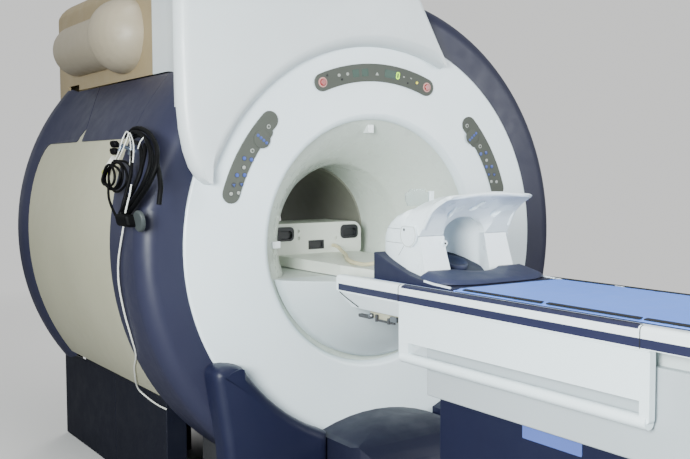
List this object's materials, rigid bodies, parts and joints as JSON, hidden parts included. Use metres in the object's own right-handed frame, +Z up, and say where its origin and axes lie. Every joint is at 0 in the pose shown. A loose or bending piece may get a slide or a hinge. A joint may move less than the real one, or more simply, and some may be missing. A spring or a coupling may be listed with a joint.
{
  "type": "mri scanner",
  "caption": "Whole-body magnet with a round moulded front, side tower and bore, and a docked height-adjustable patient table with a sliding cradle and head coil.",
  "frame": {"origin": "on the floor straight below the isocentre, at the centre of the magnet's anchor holes", "axes": "+X to the right seen from the patient end, +Y along the bore away from the table, +Z up"},
  "size_m": [2.0824, 4.7, 2.24],
  "materials": {
    "white_cover": "satin moulded cover, white",
    "cream_cover": "satin moulded cover, cream",
    "slate_cover": "satin moulded cover, slate blue",
    "navy_cover": "satin moulded cover, navy",
    "bore_cover": "satin moulded cover, warm white",
    "bore_liner": "matt glass-fibre tube",
    "panel_grey": "matt membrane, grey",
    "lamp_window": "clear window",
    "vessel_steel": "painted steel",
    "winding": "copper windings in resin",
    "coil_resin": "cast resin",
    "cold_metal": "machined aluminium",
    "foot_iron": "painted cast iron",
    "hook_metal": "anodised",
    "lead_white": "soft jacket, off-white",
    "lead_black": "soft jacket, black",
    "stop_red": "gloss, red",
    "socket_black": "matt, black",
    "table_light": "satin moulded cover, light grey",
    "cradle_plastic": "matt laminate, light blue",
    "mattress_vinyl": "soft vinyl, light blue",
    "pad_vinyl": "soft vinyl, slate blue",
    "coil_white": "satin moulded housing, white",
    "coil_lead": "soft jacket, cream",
    "mirror_clear": "clear acrylic",
    "caster_metal": "cast aluminium",
    "caster_rubber": "black rubber"
  },
  "bodies": {
    "magnet": {"vacuum_vessel": "vessel_steel", "main_coils": "winding", "gradient_coil": "coil_resin", "body_coil": "coil_resin", "bore_liner": "bore_liner", "cold_head": "cold_metal", "magnet_feet": "foot_iron", "front_cover": "white_cover", "bore_funnel": "bore_cover", "chin_cover": "bore_cover", "front_ring_left": "slate_cover", "front_ring_right": "slate_cover", "rear_ring_left": "slate_cover", "rear_ring_right": "slate_cover", "side_panel_left": "cream_cover", "side_panel_right": "cream_cover", "front_top_cover": "white_cover", "tower_cover": "cream_cover", "duct_cover": "cream_cover", "rear_cover": "white_cover", "plinth": "navy_cover", "wing_left": "navy_cover", "wing_right": "navy_cover", "dock_cover": "slate_cover", "display_panel": "panel_grey", "keypad_left": "panel_grey", "keypad_right": "panel_grey", "light_windows": "lamp_window", "bridge": "bore_cover", "rear_pedestal": "navy_cover", "lead_hook": "hook_metal", "white_lead": "lead_white", "black_leads": "lead_black"},
    "stop_left": {"stop_button_left": "stop_red"},
    "stop_right": {"stop_button_right": "stop_red"},
    "carriage_unit": {"carriage": "white_cover", "coil_sockets": "socket_black", "coil_lead": "coil_lead"},
    "table_chassis": {"table_base": "navy_cover"},
    "table_top": {"table_frame": "table_light", "table_nose": "white_cover", "side_mouldings": "white_cover", "table_skirt": "table_light"},
    "flap_left": {"guard_left": "table_light"},
    "flap_right": {"guard_right": "table_light"},
    "cradle_unit": {"cradle": "cradle_plastic", "mattress": "mattress_vinyl", "coil_base": "slate_cover", "coil_helmet": "coil_white", "coil_pads": "pad_vinyl"},
    "arch": {"coil_arch": "coil_white"},
    "mirror": {"coil_mirror": "mirror_clear"},
    "fork_1": {"caster_fork_1": "caster_metal"},
    "wheel_1": {"caster_wheel_1": "caster_rubber"},
    "fork_2": {"caster_fork_2": "caster_metal"},
    "wheel_2": {"caster_wheel_2": "caster_rubber"},
    "fork_3": {"caster_fork_3": "caster_metal"},
    "wheel_3": {"caster_wheel_3": "caster_rubber"},
    "fork_4": {"caster_fork_4": "caster_metal"},
    "wheel_4": {"caster_wheel_4": "caster_rubber"}
  },
  "joints": [
    {"name": "stop_left_press", "type": "slide", "parent": "magnet", "child": "stop_left", "axis": [0, 1, 0], "range_m": [0, 0.004], "stiffness_N_per_m": 900, "springref_m": -0.002},
    {"name": "stop_right_press", "type": "slide", "parent": "magnet", "child": "stop_right", "axis": [0, 1, 0], "range_m": [0, 0.004], "stiffness_N_per_m": 900, "springref_m": -0.002},
    {"name": "carriage_travel", "type": "slide", "parent": "magnet", "child": "carriage_unit", "axis": [0, 1, 0], "range_m": [0, 1.45]},
    {"name": "table_dock", "type": "slide", "parent": "magnet", "child": "table_chassis", "axis": [0, 1, 0], "range_m": [-1, 0]},
    {"name": "table_lift", "type": "slide", "parent": "table_chassis", "child": "table_top", "axis": [0, 0, 1], "range_m": [-0.24, 0]},
    {"name": "cradle_travel", "type": "slide", "parent": "table_top", "child": "cradle_unit", "axis": [0, 1, 0], "range_m": [0, 1.45]},
    {"name": "guard_left_hinge", "type": "hinge", "parent": "table_top", "child": "flap_left", "pos_m": [-0.3015, -1.9, 0.905], "axis": [0, 1, 0], "range_deg": [0, 180]},
    {"name": "guard_right_hinge", "type": "hinge", "parent": "table_top", "child": "flap_right", "pos_m": [0.3015, -1.9, 0.905], "axis": [0, -1, 0], "range_deg": [0, 180]},
    {"name": "arch_hinge", "type": "hinge", "parent": "cradle_unit", "child": "arch", "pos_m": [0, -1.3, 1.13], "axis": [1, 0, 0], "range_deg": [-30, 0]},
    {"name": "mirror_tilt", "type": "hinge", "parent": "cradle_unit", "child": "mirror", "pos_m": [-0.044, -1.215, 1.232], "axis": [1, 0, 0], "range_deg": [-60, 0]},
    {"name": "caster_1_swivel", "type": "hinge", "parent": "table_chassis", "child": "fork_1", "pos_m": [-0.16, -1.65, 0.14], "axis": [0, 0, 1], "continuous": true},
    {"name": "caster_1_roll", "type": "hinge", "parent": "fork_1", "child": "wheel_1", "pos_m": [-0.16, -1.678, 0.055], "axis": [1, 0, 0], "continuous": true},
    {"name": "caster_2_swivel", "type": "hinge", "parent": "table_chassis", "child": "fork_2", "pos_m": [0.16, -1.65, 0.14], "axis": [0, 0, 1], "continuous": true},
    {"name": "caster_2_roll", "type": "hinge", "parent": "fork_2", "child": "wheel_2", "pos_m": [0.16, -1.678, 0.055], "axis": [1, 0, 0], "continuous": true},
    {"name": "caster_3_swivel", "type": "hinge", "parent": "table_chassis", "child": "fork_3", "pos_m": [-0.16, -3.02, 0.14], "axis": [0, 0, 1], "continuous": true},
    {"name": "caster_3_roll", "type": "hinge", "parent": "fork_3", "child": "wheel_3", "pos_m": [-0.16, -3.048, 0.055], "axis": [1, 0, 0], "continuous": true},
    {"name": "caster_4_swivel", "type": "hinge", "parent": "table_chassis", "child": "fork_4", "pos_m": [0.16, -3.02, 0.14], "axis": [0, 0, 1], "continuous": true},
    {"name": "caster_4_roll", "type": "hinge", "parent": "fork_4", "child": "wheel_4", "pos_m": [0.16, -3.048, 0.055], "axis": [1, 0, 0], "continuous": true}
  ],
  "couplings": [
    {"joint": "carriage_travel", "follows": "cradle_travel", "ratio": 1}
  ]
}
